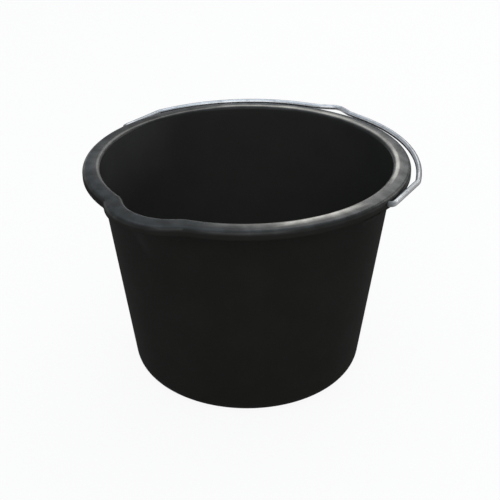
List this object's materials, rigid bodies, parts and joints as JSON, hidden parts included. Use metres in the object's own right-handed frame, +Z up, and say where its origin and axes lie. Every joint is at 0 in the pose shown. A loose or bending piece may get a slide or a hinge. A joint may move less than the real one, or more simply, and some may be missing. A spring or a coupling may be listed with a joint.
{
  "type": "builders bucket",
  "caption": "Squat tapered plastic bucket with a flat rim, a rounded pouring spout and a folding bare wire bail with a hook kink.",
  "frame": {"origin": "on the ground under the middle of the base", "axes": "+Z up along the bucket's axis; -Y towards the spout; X along the bail's hinge line"},
  "size_m": [0.3412, 0.3533, 0.2326],
  "materials": {
    "moulding": "black moulded polyethylene, satin",
    "wire": "bright galvanised wire"
  },
  "bodies": {
    "bucket": {"bucket_body": "moulding"},
    "bail": {"wire_bail": "wire"}
  },
  "joints": [
    {"name": "bail_hinge", "type": "hinge", "parent": "bucket", "child": "bail", "pos_m": [0, 0, 0.2241], "axis": [1, 0, 0], "range_deg": [0, 174.9]}
  ]
}
